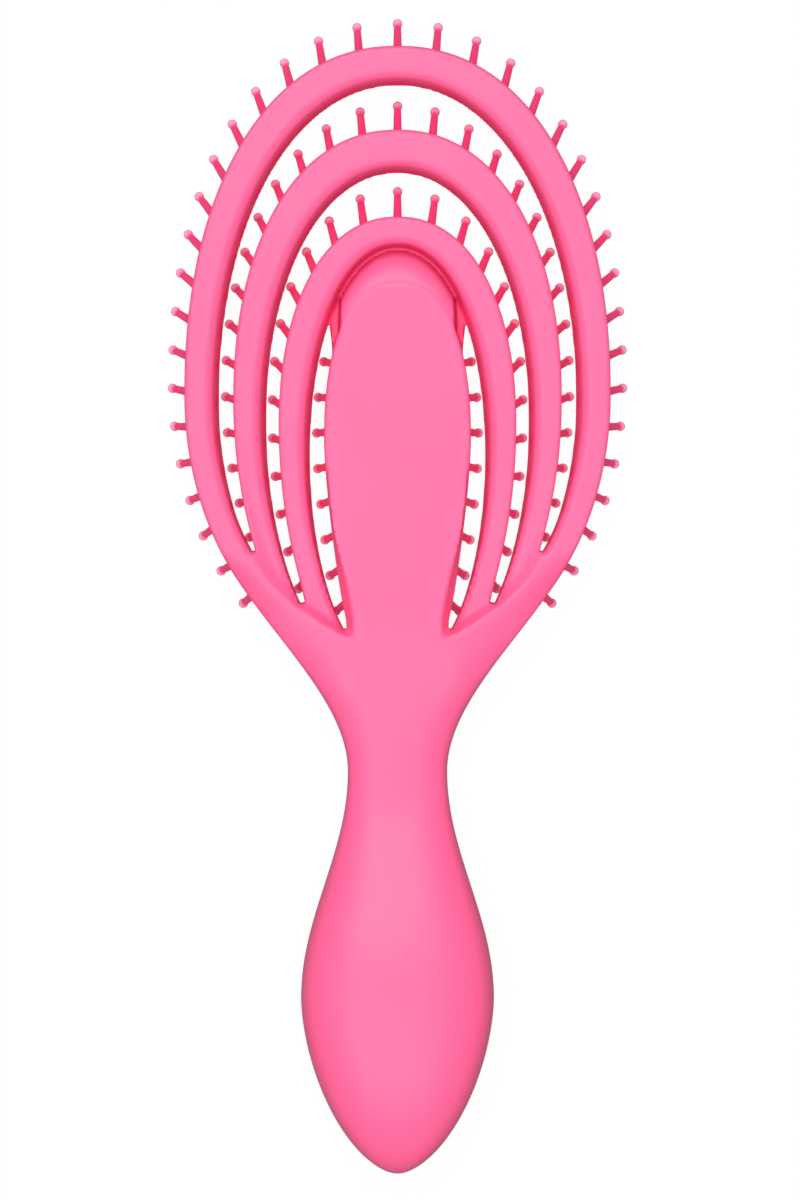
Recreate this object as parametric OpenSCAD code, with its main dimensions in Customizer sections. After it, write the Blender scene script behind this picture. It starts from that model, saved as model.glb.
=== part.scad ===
// Vented detangling brush. X runs across it, Y from the handle up to the crown, Z from the pins to the back.
// Heights marked y are measured from the shoulder line, where the head grows out of the neck.

/* [Head] */
// Height of the front face, which carries the pins, above the pin tips
front_z = 13.5; // [11:0.1:16]
// Thickness of the arches, from front face to back face
arch_t = 5; // [4.2:0.1:6]
// Rounding of the edges round the back face
back_r = 1.0; // [0.4:0.1:1.4]
// Rounding of the edges round the front face
front_r = 0.5; // [0.2:0.1:0.8]
// How far the inner wall of an arch leans outwards from front to back
draft_w = 1.7; // [0.8:0.1:2.2]
// How far the middle and inner arches sink below the outer one at the shoulders
root_sink = 1.5; // [0:0.1:2]
// How full the crowns are outside, where 2 is an ellipse
crown_fullness = 2.18; // [2:0.01:2.4]
// How full the crowns are inside
inside_fullness = 2.08; // [2:0.01:2.3]

/* [Tongue] */
// Half width at its widest
tongue_half_w = 14.7; // [14:0.1:15.2]
// Height y of the widest line
tongue_wide_y = 31.8; // [30:0.1:34]
// Height y of the tip of the flat back
tongue_top_y = 63.4; // [61:0.1:65]
// Rise of the tongue's flat back above the arches' back faces
tongue_rise = 1.0; // [0.4:0.1:2]

/* [Inner arch] */
// Width of the vent between the tongue and the inner arch at their widest
inner_vent_w = 2.7; // [2:0.1:3.5]
// Width of the band at its sides
inner_band_w = 6.4; // [5.8:0.1:6.8]
// How far its widest line lies above the tongue's
inner_wide_rise = 3.0; // [1:0.1:5]
// Length of the shelf from the tip of the tongue to the inside of the arch
shelf_len = 6.6; // [5:0.1:8]
// Thickness of the shelf where it meets the arch
shelf_t = 2.2; // [1.6:0.1:3]
// Width of the band at its crown
inner_crown_w = 6.6; // [6:0.1:8]
// Height y at which the lower curve outside would close
inner_close_y = -19.6; // [-22:0.1:-18]
// How far the widest line inside lies below the one outside
inner_in_drop = 6; // [4:0.1:7]
// Height y at which the lower curve inside would close
inner_in_close_y = -15.6; // [-17:0.1:-14]

/* [Middle arch] */
// Width of the vent between the inner and middle arches at their sides
middle_vent_w = 2.4; // [2:0.1:3.5]
// Width of the band at its sides
middle_band_w = 6.7; // [6:0.1:7.2]
// How far its widest line lies above that of the inner arch
middle_wide_rise = 5.0; // [3:0.1:7]
// Width of the vent at the crown
middle_crown_vent_w = 8.8; // [7:0.1:10]
// Width of the band at its crown
middle_crown_w = 8.6; // [7:0.1:9]
// Height y at which the lower curve outside would close
middle_close_y = -19.8; // [-22:0.1:-18]
// How far the widest line inside lies below the one outside
middle_in_drop = 4; // [2:0.1:5]
// Height y at which the lower curve inside would close
middle_in_close_y = -19.2; // [-21:0.1:-18]

/* [Outer arch] */
// Width of the vent between the middle and outer arches at their sides
outer_vent_w = 2.8; // [2:0.1:3.5]
// Width of the band at its sides
outer_band_w = 7.0; // [6:0.1:7.6]
// How far its widest line lies above that of the middle arch
outer_wide_rise = 1.0; // [0:0.1:4]
// Width of the vent at the crown
outer_crown_vent_w = 9.0; // [7:0.1:10]
// Width of the band at its crown
outer_crown_w = 7.8; // [6.5:0.1:9]
// Height y at which the lower curve outside would close
outer_close_y = -15.4; // [-18:0.1:-13]
// How far the widest line inside lies below the one outside
outer_in_drop = 1; // [0:0.1:3]
// Height y at which the lower curve inside would close
outer_in_close_y = -14.4; // [-16:0.1:-13]

/* [Shoulders] */
// Height y at which the rims of the shoulders meet the tongue
rim_low_y = -8.1; // [-10:0.1:-7]
// How far the rims bow outwards between the tongue and the outer arch
rim_bow = 4.2; // [2:0.1:5]
// Width over which a rim or the tongue's edge rolls down into the pockets
roll_w = 2.0; // [1:0.1:3]

/* [Flexing roots] */
// Height y of the line about which the outer arch bends
outer_bend_y = 13.2; // [12.8:0.1:13.6]
// Height y of the line about which the middle arch bends
middle_bend_y = 12.0; // [11.6:0.1:12.2]
// Running gap between an arch's rounded end and its seat
bend_gap = 0.3; // [0.2:0.05:0.5]

/* [Slots at the shoulders] */
// Height y of the bottom of the slot between outer and middle arch
outer_slot_y = 8.6; // [7.5:0.1:9.2]
// Height y of the bottom of the slot between middle and inner arch
middle_slot_y = -1; // [-2:0.1:1]
// Height y of the bottom of the slot between inner arch and tongue
inner_slot_y = -6.2; // [-7:0.1:-4]
// Width of that slot just above its bottom
inner_slot_w = 1.2; // [0.8:0.1:2]

/* [Pins] */
// Radius of the ball on a pin
ball_r = 1.0; // [0.9:0.05:1.1]
// Radius of a pin under its ball
stem_r = 0.8; // [0.6:0.05:0.85]
// Radius of a pin at its strip
foot_r = 0.95; // [0.8:0.05:1.1]
// How far the tips of the outer row stand outside its arch at the sides
outer_lean = 3.1; // [2:0.1:4]
// How far the tips of the middle row stand outside its arch at the sides
middle_lean = 2.1; // [1.5:0.1:2.6]
// How far the tips of the inner row stand outside its arch at the sides
inner_lean = 1.7; // [1.2:0.1:2.4]
// How far the tips stand above their arch at the crown
crown_lean = 6.3; // [5:0.1:7]
// How far the widest line of the tips lies above that of their arch
tip_rise = 3; // [2:0.1:4]
// Height y at which the lower curve of the outer tips would close
outer_tip_close_y = -17.5; // [-19:0.1:-16]
// Height y at which the lower curve of the middle tips would close
middle_tip_close_y = -16.6; // [-18:0.1:-15]
// Height y at which the lower curve of the inner tips would close
inner_tip_close_y = -20.6; // [-22:0.1:-19]
// Distance from the outer arch's last pins up the arch to the line about which it bends
outer_last_in = 2.2; // [1.5:0.1:3]
// Distance from the middle arch's last pins up the arch to the line about which it bends
middle_last_in = 2.0; // [1.5:0.1:3]
// How far the inner row runs on below the end of its arch
inner_last_out = 7.0; // [4:0.1:9]
// Distance of the outer row's last tips from the end of the curve that they lie on
outer_tip_in = 5.2; // [4:0.1:7]
// Distance of the middle row's last tips from the end of the curve that they lie on
middle_tip_in = 6.0; // [4:0.1:8]
// Distance of the inner row's last tips from the end of the curve that they lie on
inner_tip_in = 3.3; // [2:0.1:5]
// How far the feet halfway down the outer row stand below an even spacing
outer_foot_shift = 2.6; // [0:0.1:3]
// How far the tips halfway down the outer row stand below an even spacing
outer_tip_shift = 1.6; // [0:0.1:3]
// How far the pins halfway down the middle row stand below an even spacing
middle_shift = 1.1; // [0:0.1:2]
// How far the feet on the shoulders stand below an even spacing
shoulder_shift = 1.4; // [1:0.1:2]
// Distance from the tip of the tongue down to the balls of its topmost pins
tongue_pins_in = 15.1; // [13:0.1:18]
// Height y of the balls of the tongue's lowest pins
tongue_low_pins_y = -2.4; // [-4:0.1:0]
// How far the tongue's pins lean outwards
tongue_lean = 3.6; // [2.5:0.1:3.8]
// Width of the strip that a row of pins is moulded on
strip_w = 3.0; // [2.6:0.1:3.2]
// Thickness of that strip
strip_t = 2.0; // [1.6:0.1:2.2]
// How far the strip stands out of its groove
strip_proud = 0.4; // [0.2:0.1:0.6]
// Distance from an arch's outer edge to its strip
strip_in = 0.9; // [0.8:0.05:1.2]
// Clearance round a strip in its groove
strip_gap = 0.1; // [0.05:0.01:0.15]

/* [Handle] */
// Length of the handle and neck below the shoulder line
handle_len = 115.6; // [108:0.1:122]
// Half width of the neck at its narrowest
neck_half_w = 10; // [9:0.1:11.5]
// Distance from the shoulder line down to the narrowest place of the neck
neck_down = 34.6; // [33:0.1:37]
// Half width of the grip at its widest
grip_half_w = 19.4; // [17:0.1:21]
// Distance from the shoulder line down to the widest place of the grip
grip_down = 80.2; // [76:0.1:84]
// Thickness of the grip at its widest
grip_t = 24; // [21:0.1:26]
// Height of the neck's back above the pin tips
neck_back_z = 17.6; // [16.5:0.1:19]
// Height of the neck's front above the pin tips
neck_front_z = 5.0; // [4:0.1:6.5]
// Wall of the hollow handle
wall = 2.2; // [1.6:0.1:3]
// Height of the weld line between the two handle shells
weld_z = 12.5; // [11:0.1:13]
// Distance from the shoulder line down to the end of the front shell
weld_end_down = 26; // [24:0.1:29]
// Radius of the pegs that line the shells up
peg_r = 1.8; // [1.2:0.1:2.4]
// Clearance of a peg in its sleeve
peg_gap = 0.1; // [0.05:0.01:0.2]

/* [Hidden] */
pink = "#ff6fae";
pin_pink = "#f0528f";
// Pins in the outer row on each side of the middle one, and those of them that stand on the shoulders
outer_pins_n = 18;
shoulder_pins_n = 2;
middle_pins_n = 14;
inner_pins_n = 12;
// Pins on each side of the tongue
tongue_pins_n = 8;

// Stations along an arch, rings in a rounded end, stations along the handle and points across it
arch_steps = 60;
nose_steps = 4;
handle_steps = 26;
across_steps = 16;
$fn = 24;

back_z = front_z + arch_t;
tongue_z = back_z + tongue_rise;
bend_z = front_z + arch_t / 2;
bend_r = arch_t / 2;
// How far below a bending line the seat meets the faces
seat_drop = sqrt(pow(bend_r + bend_gap, 2) - pow(bend_r, 2));
// Height y at which the shoulders end and the inner arch and the tongue begin
seat_y = outer_bend_y - seat_drop;

// Each arch is fitted round the piece within it: their half widths, widest lines and crowns
inner_half_w = tongue_half_w + inner_vent_w + inner_band_w;
middle_half_w = inner_half_w + middle_vent_w + middle_band_w;
outer_half_w = middle_half_w + outer_vent_w + outer_band_w;
inner_wide_y = tongue_wide_y + inner_wide_rise;
middle_wide_y = inner_wide_y + middle_wide_rise;
outer_wide_y = middle_wide_y + outer_wide_rise;
inner_in_top_y = tongue_top_y + shelf_len;
middle_in_top_y = inner_in_top_y + inner_crown_w + middle_crown_vent_w;
outer_in_top_y = middle_in_top_y + middle_crown_w + outer_crown_vent_w;
inner_top_y = inner_in_top_y + inner_crown_w;
middle_top_y = middle_in_top_y + middle_crown_w;
outer_top_y = outer_in_top_y + outer_crown_w;

// An edge of an arch is [half width, widest y, rise to the crown, fullness, reach of the lower curve]
function edge(half_w, wide_y, top_y, fullness, close_y) =
    [half_w, wide_y, top_y - wide_y, fullness, wide_y - close_y];
outer_out = edge(outer_half_w, outer_wide_y, outer_top_y, crown_fullness, outer_close_y);
outer_in = edge(outer_half_w - outer_band_w, outer_wide_y - outer_in_drop, outer_in_top_y, inside_fullness,
    outer_in_close_y);
middle_out = edge(middle_half_w, middle_wide_y, middle_top_y, crown_fullness, middle_close_y);
middle_in = edge(middle_half_w - middle_band_w, middle_wide_y - middle_in_drop, middle_in_top_y,
    inside_fullness, middle_in_close_y);
inner_out = edge(inner_half_w, inner_wide_y, inner_top_y, crown_fullness, inner_close_y);
inner_in = edge(inner_half_w - inner_band_w, inner_wide_y - inner_in_drop, inner_in_top_y, inside_fullness,
    inner_in_close_y);
// The curves that the tips of the rows lie on
function tips_edge(half_w, wide_y, top_y, fullness, close_y) =
    edge(half_w, wide_y + tip_rise, top_y + crown_lean, fullness, close_y);
outer_tips = tips_edge(outer_half_w + outer_lean, outer_wide_y, outer_top_y, crown_fullness,
    outer_tip_close_y);
middle_tips = tips_edge(middle_half_w + middle_lean, middle_wide_y, middle_top_y, inside_fullness,
    middle_tip_close_y);
inner_tips = tips_edge(inner_half_w + inner_lean, inner_wide_y, inner_top_y, crown_fullness,
    inner_tip_close_y);

function clamp(v) = max(0, min(1, v));
function ease(v) = (1 - cos(180 * clamp(v))) / 2;
function mix(a, b, v) = a + (b - a) * v;
function unit(v) = v / norm(v);
function flip(p) = [-p[0], p[1]];

// Point of an edge at an angle from the crown: a superellipse above the widest line, an ellipse below it
function edge_at(e, a) = let(s = sin(a), c = cos(a), p = c > 0 ? 2 / e[3] : 1)
    [e[0] * sign(s) * pow(abs(s), p), e[1] + (c > 0 ? e[2] * pow(c, p) : e[4] * c)];
// Half width of an edge at a height y below its widest line
function edge_x(e, y) = e[0] * sqrt(max(0, 1 - pow((e[1] - y) / e[4], 2)));
// Angle from the crown at which an edge comes down to a height y
function edge_end(e, y) = 90 + asin((e[1] - y) / e[4]);

// Point on the right-hand side, d mm in from the outer edge, at a share of the way from crown to y_end
function band_at(out, in, y_end, share, d) = let(
        o = edge_at(out, share * edge_end(out, y_end)),
        i = edge_at(in, share * edge_end(in, y_end)))
    o + unit(i - o) * d;
// The same line as a list of points, one at each ring of the arch, and on past y_end
function share_at(k) = k * 2 / arch_steps;
line_steps = arch_steps * 0.6;
function band_line(out, in, y_end, d) = [for (k = [0:line_steps]) band_at(out, in, y_end, share_at(k), d)];
// The point at a share of the way to y_end on such a line
function on_line(line, share) = let(v = share / share_at(1), k = min(floor(v), line_steps - 1))
    mix(line[k], line[k + 1], v - k);
// Distances along a list of points, and the point at a distance along it
function lengths(pts, i = 1, done = [0]) = i == len(pts) ? done
    : lengths(pts, i + 1, concat(done, [done[i - 1] + norm(pts[i] - pts[i - 1])]));
function along(pts, s) = let(l = lengths(pts))
    [for (axis = [0:1]) lookup(s, [for (i = [0:len(pts) - 1]) [l[i], pts[i][axis]]])];
// Both halves of a line given on the right-hand side, from the left end to the right end
function both_sides(pts) = concat([for (i = [len(pts) - 1:-1:1]) flip(pts[i])], pts);

// Faces between rings of n points, with both ends closed by the polygons in caps
function ring_faces(rings, n, caps) = concat(
    [for (k = [0:rings - 2], j = [0:n - 1]) let(a = k * n + j, b = k * n + (j + 1) % n) [a, b, b + n]],
    [for (k = [0:rings - 2], j = [0:n - 1]) let(a = k * n + j, b = k * n + (j + 1) % n) [a, b + n, a + n]],
    [for (c = caps) turned(c)], [for (c = caps) [for (j = c) (rings - 1) * n + j]]);
// The end of a ring whose first and last points, second and last but one, and so on, face each other
function ladder(n) = [for (j = [0:floor((n - 3) / 2)]) [j, j + 1, n - 2 - j, n - 1 - j]];
function flatten(l) = [for (a = l) for (b = a) b];

// Section of an arch: [0, d, z] lies d mm in from the outer edge, and [1, d, z] d mm out from the inner one
corner_shares = [0, 0.29, 1];
function arch_section(sink, groove) = let(back = back_z - sink, groove_z = front_z + groove,
        g0 = strip_in - strip_gap, g1 = strip_in + strip_w + strip_gap)
    concat(
        [[1, front_r, front_z], [1, 0, front_z + front_r]],
        [for (i = [0:2]) [1, draft_w + back_r * corner_shares[i], back - back_r * corner_shares[2 - i]]],
        [for (i = [2:-1:0]) [0, back_r * corner_shares[i], back - back_r * corner_shares[2 - i]]],
        [[0, 0, front_z + front_r], [0, front_r, front_z]],
        [[0, g0, front_z], [0, g0, groove_z], [0, g1, groove_z], [0, g1, front_z]]);
groove_t = strip_t - strip_proud;
groove_points = 4;
// One ring of an arch between a point of its outer and one of its inner edge, flattened towards the bend
function arch_ring(o, i, sink, flat, groove = groove_t) = let(v = unit(i - o))
    [for (q = arch_section(sink, groove)) let(p = q[0] == 1 ? i - v * q[1] : o + v * q[1])
        [p[0], p[1], bend_z + (q[2] - bend_z) * flat]];
// How far the back face has sunk at a height y: fully at the shoulders, and not at all half way up
function sink_at(y, depth) = depth * (1 - ease((y - seat_y) / (inner_wide_y - seat_y)));

// Rings round the rounded end of an arch at its bending line, from the nose towards the arch
nose_a = 76;
nose_angles = [for (k = [nose_steps:-1:1]) nose_a * k / nose_steps];
function nose_rings(out, in, y, side, depth) = [for (a = nose_angles) let(ny = y - bend_r * sin(a))
    arch_ring([side * edge_x(out, ny), ny], [side * edge_x(in, ny), ny], depth, cos(a), 0)];
function arch_rings(out, in, y, depth) = [for (k = [-arch_steps / 2:arch_steps / 2]) let(
        share = abs(k) * 2 / arch_steps, side = k < 0 ? -1 : 1,
        o = edge_at(out, share * edge_end(out, y)), i = edge_at(in, share * edge_end(in, y)))
    arch_ring([side * o[0], o[1]], [side * i[0], i[1]], sink_at(o[1], depth), 1)];

function turned(l) = [for (k = [len(l) - 1:-1:0]) l[k]];
// A solid through rings of points. A cap without a shape of its own starts past the groove, flat at the nose.
function plain_cap(n) = [[for (j = [0:n - 1]) (j + groove_points) % n]];
module swept(rings, caps = undef) let(n = len(rings[0])) polyhedron(flatten(rings),
    ring_faces(len(rings), n, caps == undef ? plain_cap(n) : caps), convexity = 10);

// Half width of the tongue at a height y
tongue_fullness = 2.35;
tongue_fan_share = 0.93;
// Power of the curve by which its sides draw in below its widest line
side_fullness = 1.5;
tongue_root_y = inner_slot_y + roll_w;
tongue_root_half_w = edge_x(inner_in, tongue_root_y) - inner_slot_w;
function tongue_x(y) = y > tongue_wide_y
    ? tongue_half_w * pow(1 - pow((y - tongue_wide_y) / (tongue_top_y - tongue_wide_y), tongue_fullness),
        1 / tongue_fullness)
    : mix(tongue_half_w, tongue_root_half_w,
        pow(clamp((tongue_wide_y - y) / (tongue_wide_y - tongue_root_y)), side_fullness));

// Half width of the handle, neck and shoulders: a rounded end, a waist, and a curve into the outer arch
end_fullness = 1.7;
grip_fullness = 2.4;
head_fullness = 7;
// Height y at which the shoulders' curve joins the outer arch
join_y = 3.8;
join_slope = edge_slope(outer_out, join_y);
function edge_slope(e, y) = e[0] * e[0] * (e[1] - y) / (e[4] * e[4] * edge_x(e, y));
function past_grip(y) = clamp((-grip_down - y) / (handle_len - grip_down));
function half_w(y) = y >= join_y ? edge_x(outer_out, y)
    : y > -neck_down ? let(l = join_y + neck_down, t = (y + neck_down) / l, t2 = t * t, t3 = t2 * t)
        neck_half_w * (2 * t3 - 3 * t2 + 1) + edge_x(outer_out, join_y) * (3 * t2 - 2 * t3)
            + join_slope * l * (t3 - t2)
    : y > -grip_down ? mix(grip_half_w, neck_half_w, ease((y + grip_down) / (grip_down - neck_down)))
    : grip_half_w * pow(1 - pow(past_grip(y), end_fullness), 1 / end_fullness);
// Heights of the back, the front and the widest line of the handle, neck and shoulders
function round_end(y) = pow(1 - pow(past_grip(y), grip_fullness), 1 / grip_fullness);
function mid_top_z(y) = y > -neck_down ? mix(neck_back_z, tongue_z, ease((y + neck_down) / neck_down))
    : y > -grip_down ? mix(grip_t, neck_back_z, ease((y + grip_down) / (grip_down - neck_down)))
    : mix(weld_z, grip_t, round_end(y));
function rim_top_z(y) = mid_top_z(y) - tongue_rise;
function low_z(y) = y > -neck_down ? mix(neck_front_z, front_z, ease((y + neck_down) / neck_down))
    : y > -grip_down ? mix(0, neck_front_z, ease((y + grip_down) / (grip_down - neck_down)))
    : mix(weld_z, 0, round_end(y));
function side_z(y) = mix(weld_z, bend_z, ease((y + weld_end_down) / weld_end_down));
function squareness(y) = mix(grip_fullness, head_fullness, ease((y + weld_end_down) / weld_end_down));

// The part stands with the middle of its length over the origin
mid_y = (outer_top_y + crown_lean + ball_r - handle_len) / 2;
module placed() translate([0, -mid_y, 0]) children();

module outer_arch() placed() color(pink) swept(concat(
    nose_rings(outer_out, outer_in, outer_bend_y, -1, 0),
    arch_rings(outer_out, outer_in, outer_bend_y, 0),
    turned(nose_rings(outer_out, outer_in, outer_bend_y, 1, 0))));

module middle_arch() placed() color(pink) swept(concat(
    nose_rings(middle_out, middle_in, middle_bend_y, -1, root_sink),
    arch_rings(middle_out, middle_in, middle_bend_y, root_sink),
    turned(nose_rings(middle_out, middle_in, middle_bend_y, 1, root_sink))));

// The inner arch is one with the shelf that slopes down to it from the tip of the tongue. The shelf ends
// where these angles from the crown reach the side of the tongue and the inside of the arch.
shelf_tongue_a = 60;
shelf_arch_a = 51;
// Width of the seam between the shelf and the tongue
seam_w = 0.05;
shelf_edge = [tongue_half_w + seam_w, tongue_wide_y, tongue_top_y + seam_w - tongue_wide_y,
    tongue_fullness, 1];
function inner_ring(k) = let(
        share = abs(k) * 2 / arch_steps, side = k < 0 ? -1 : 1, a = share * edge_end(inner_in, seat_y),
        o = edge_at(inner_out, share * edge_end(inner_out, seat_y)), i = edge_at(inner_in, a),
        t = edge_at(shelf_edge, a * shelf_tongue_a / shelf_arch_a),
        ring = arch_ring(o, i, sink_at(o[1], root_sink), 1),
        foot = i + unit(o - i) * draft_w * shelf_t / arch_t, on_shelf = a < shelf_arch_a)
    [for (q = concat(
        on_shelf ? [[t[0], t[1], front_z], [t[0], t[1], tongue_z - back_r],
                [foot[0], foot[1], front_z + shelf_t]]
            : [ring[0], ring[1], mix(ring[1], ring[2], shelf_t / arch_t)],
        [for (j = [2:len(ring) - 1]) ring[j]])) [side * q[0], q[1], q[2]]];
// Its ends are closed round the groove by three polygons
inner_caps = [[9, 10, 11, 12], [13, 14, 0, 1], [5, 6, 7, 8, 9, 12, 13, 1, 2, 3, 4]];
module inner_arch() placed() color(pink)
    swept([for (k = [-arch_steps / 2:arch_steps / 2]) inner_ring(k)], inner_caps);

// The middle line of a strip, and the share of the way to y_end that lies at a distance along it
function foot_line(out, in, y_end) = band_line(out, in, y_end, strip_in + strip_w / 2);
function share_of(out, in, y_end, s) = let(l = lengths(foot_line(out, in, y_end)))
    lookup(s, [for (k = [0:line_steps]) [l[k], share_at(k)]]);
// Length of that middle line from the crown down to y_end
function foot_len(out, in, y_end) = lengths(foot_line(out, in, y_end))[arch_steps / 2];
// A line down the right-hand side of an arch, d mm in from its edge, between two distances from the crown
function strip_line(out, in, y_end, from, to, d) = let(
        line = band_line(out, in, y_end, d),
        a = share_of(out, in, y_end, from), b = share_of(out, in, y_end, to))
    concat([on_line(line, a)], [for (k = [0:line_steps]) if (share_at(k) > a && share_at(k) < b) line[k]],
        [on_line(line, b)]);
module strip_body() translate([0, 0, front_z - strip_proud]) linear_extrude(strip_t) children();
// A strip round the crown, and one on a side alone, as they lie in their grooves
module strip(out, in, y_end, reach, grow = 0) strip_body()
    polygon(concat(both_sides(strip_line(out, in, y_end, 0, reach + grow, strip_in - grow)),
        turned(both_sides(strip_line(out, in, y_end, 0, reach + grow, strip_in + strip_w + grow)))));
module side_strip(out, in, y_end, from, to, grow = 0) strip_body()
    polygon(concat(strip_line(out, in, y_end, from - grow, to + grow, strip_in - grow),
        turned(strip_line(out, in, y_end, from - grow, to + grow, strip_in + strip_w + grow))));

// A pin leans from its foot, on the strip's face, to its ball, whose lowest point is at height 0
foot_z = front_z - strip_proud;
// How far a pin's foot is rooted in the strip
root_t = strip_t * 0.45;
module pin(foot, tip) {
    v = [tip[0] - foot[0], tip[1] - foot[1], ball_r - foot_z];
    translate([foot[0], foot[1], foot_z]) rotate([acos(v[2] / norm(v)), 0, 90 + atan2(v[1], v[0])])
        translate([0, 0, -root_t]) cylinder(h = norm(v) + root_t, r1 = foot_r, r2 = stem_r);
    translate([tip[0], tip[1], ball_r]) sphere(r = ball_r);
}
// Pins first to last of a row, counted from the crown, on both sides. On an arch their shifts are greatest
// halfway down and none at its ends.
module row(feet, tips, foot_pitch, tip_pitch, first, last, foot_shift = 0, tip_shift = 0)
    for (k = [first:last]) {
        shift_share = first > 0 ? 1 : sin(180 * k / last);
        foot = along(feet, k * foot_pitch + foot_shift * shift_share);
        tip = along(tips, k * tip_pitch + tip_shift * shift_share);
        pin(foot, tip);
        if (k > 0) pin(flip(foot), flip(tip));
    }
function tip_line(e, y) = [for (k = [0:arch_steps * 2]) edge_at(e, edge_end(e, y) * k / arch_steps / 2)];
// What a strip runs on beyond its last pin
over = foot_r + strip_gap * 3;
// Pitches of the rows at their feet and at their tips
outer_steps = outer_pins_n - shoulder_pins_n;
outer_pitch = (foot_len(outer_out, outer_in, outer_bend_y) - outer_last_in) / outer_steps;
middle_pitch = (foot_len(middle_out, middle_in, middle_bend_y) - middle_last_in) / middle_pins_n;
inner_pitch = (foot_len(inner_out, inner_in, seat_y) + inner_last_out) / inner_pins_n;
function tip_pitch(line, last_in, n) = (lengths(line)[len(line) - 1] - last_in) / n;
outer_tip_line = tip_line(outer_tips, outer_bend_y - arch_t);
middle_tip_line = tip_line(middle_tips, middle_bend_y - arch_t);
inner_tip_line = tip_line(inner_tips, middle_slot_y);
outer_tip_pitch = tip_pitch(outer_tip_line, outer_tip_in, outer_steps);
middle_tip_pitch = tip_pitch(middle_tip_line, middle_tip_in, middle_pins_n);
inner_tip_pitch = tip_pitch(inner_tip_line, inner_tip_in, inner_pins_n);

module outer_pin_strip() placed() color(pin_pink) {
    strip(outer_out, outer_in, outer_bend_y, outer_steps * outer_pitch + over);
    row(foot_line(outer_out, outer_in, outer_bend_y), outer_tip_line, outer_pitch, outer_tip_pitch,
        0, outer_steps, outer_foot_shift, outer_tip_shift);
}

module middle_pin_strip() placed() color(pin_pink) {
    strip(middle_out, middle_in, middle_bend_y, middle_pins_n * middle_pitch + over);
    row(foot_line(middle_out, middle_in, middle_bend_y), middle_tip_line, middle_pitch, middle_tip_pitch,
        0, middle_pins_n, middle_shift, middle_shift);
}

module inner_strip_body(grow) strip(inner_out, inner_in, seat_y, inner_pins_n * inner_pitch + over, grow);
module inner_pin_strip() placed() color(pin_pink) {
    inner_strip_body(0);
    row(foot_line(inner_out, inner_in, seat_y), inner_tip_line, inner_pitch, inner_tip_pitch,
        0, inner_pins_n);
}

// The short strips below the outer arch's bend carry on its row
shoulder_first = outer_steps + 1;
module shoulder_strip_body(grow) for (side = [-1, 1]) scale([side, 1, 1])
    side_strip(outer_out, outer_in, outer_bend_y, shoulder_first * outer_pitch + shoulder_shift - over,
        outer_pins_n * outer_pitch + shoulder_shift + over, grow);
module shoulder_pin_strips() placed() color(pin_pink) {
    shoulder_strip_body(0);
    row(foot_line(outer_out, outer_in, outer_bend_y), tip_line(outer_tips, rim_low_y), outer_pitch,
        outer_tip_pitch, shoulder_first, outer_pins_n, shoulder_shift);
}

// Outline of the tongue, d mm in from its edge, from a height y up to its tip on the right-hand side
tongue_steps = 12;
quarter_turn = 90;
function tongue_side(y, d) = concat(
    [for (k = [0:tongue_steps - 1]) let(v = mix(y, tongue_wide_y, k / tongue_steps)) [tongue_x(v) - d, v]],
    [for (k = [tongue_steps:-1:0]) edge_at([tongue_half_w - d, tongue_wide_y,
        tongue_top_y - d - tongue_wide_y, tongue_fullness, 1], quarter_turn * k / tongue_steps)]);
function tongue_outline(y, d) = let(side = tongue_side(y, d), n = len(side))
    concat(side, [for (k = [n - 2:-1:0]) flip(side[k])]);
module tongue_plate() let(low = front_z + strip_t - strip_proud, rings = concat(
        [[front_r, low], [0, low + front_r]],
        [for (i = [0:2]) [back_r * corner_shares[i], tongue_z - back_r * corner_shares[2 - i]]]))
    swept([for (q = rings) [for (v = turned(tongue_outline(seat_y, q[0]))) [v[0], v[1], q[1]]]],
        ladder(len(tongue_outline(seat_y, 0))));

// The pad closes the front of the tongue and carries a row of pins along each side
pad_low_y = inner_slot_y + strip_w / 2;
pad_in = strip_in - strip_gap * 3;
module pad_body(grow) translate([0, 0, front_z - strip_proud]) linear_extrude(strip_t)
    polygon(tongue_outline(pad_low_y - grow, pad_in - grow));
module tongue_pin_pad() placed() color(pin_pink) {
    pad_body(0);
    for (k = [0:tongue_pins_n - 1], side = [-1, 1]) {
        tip_y = mix(tongue_top_y - tongue_pins_in, tongue_low_pins_y, k / (tongue_pins_n - 1));
        foot_y = mix(tongue_wide_y, tip_y, tongue_fan_share);
        from_edge = pad_in + foot_r + strip_gap * 3;
        pin([side * (tongue_x(foot_y) - from_edge), foot_y],
            [side * (tongue_x(tip_y) - from_edge + tongue_lean), tip_y]);
    }
}

// Points across the handle and shoulders run from -1, the left side, to 1, the right side
function across(j) = sin(mix(-90, 90, j / across_steps));
function bow(s, p) = pow(max(0, 1 - pow(abs(s), p)), 1 / p);
function rim_x(y) = let(v = clamp((y - rim_low_y) / (seat_y - rim_low_y)))
    mix(neck_half_w, edge_x(outer_in, seat_y), v) + rim_bow * sin(180 * v);
// Height of the back of the shoulders: the tongue, the rims and the pockets between them
function back_at(x, y) = let(
        v = abs(x), off_tongue = ease((v - tongue_x(y)) / roll_w + 0.5),
        off_rim = ease((rim_x(y) - v) / roll_w + 0.5),
        here = ease((y - rim_low_y) / (middle_slot_y - rim_low_y)))
    mix(mid_top_z(y), rim_top_z(y), off_tongue * here) - root_sink * off_tongue * off_rim * here;
function top_point(s, y) = let(x = s * half_w(y), side_z = side_z(y))
    [x, y, side_z + (back_at(x, y) - side_z) * bow(s, squareness(y))];
function low_point(s, y) = let(side_z = side_z(y))
    [s * half_w(y), y, side_z - (side_z - low_z(y)) * bow(s, squareness(y))];

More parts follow.
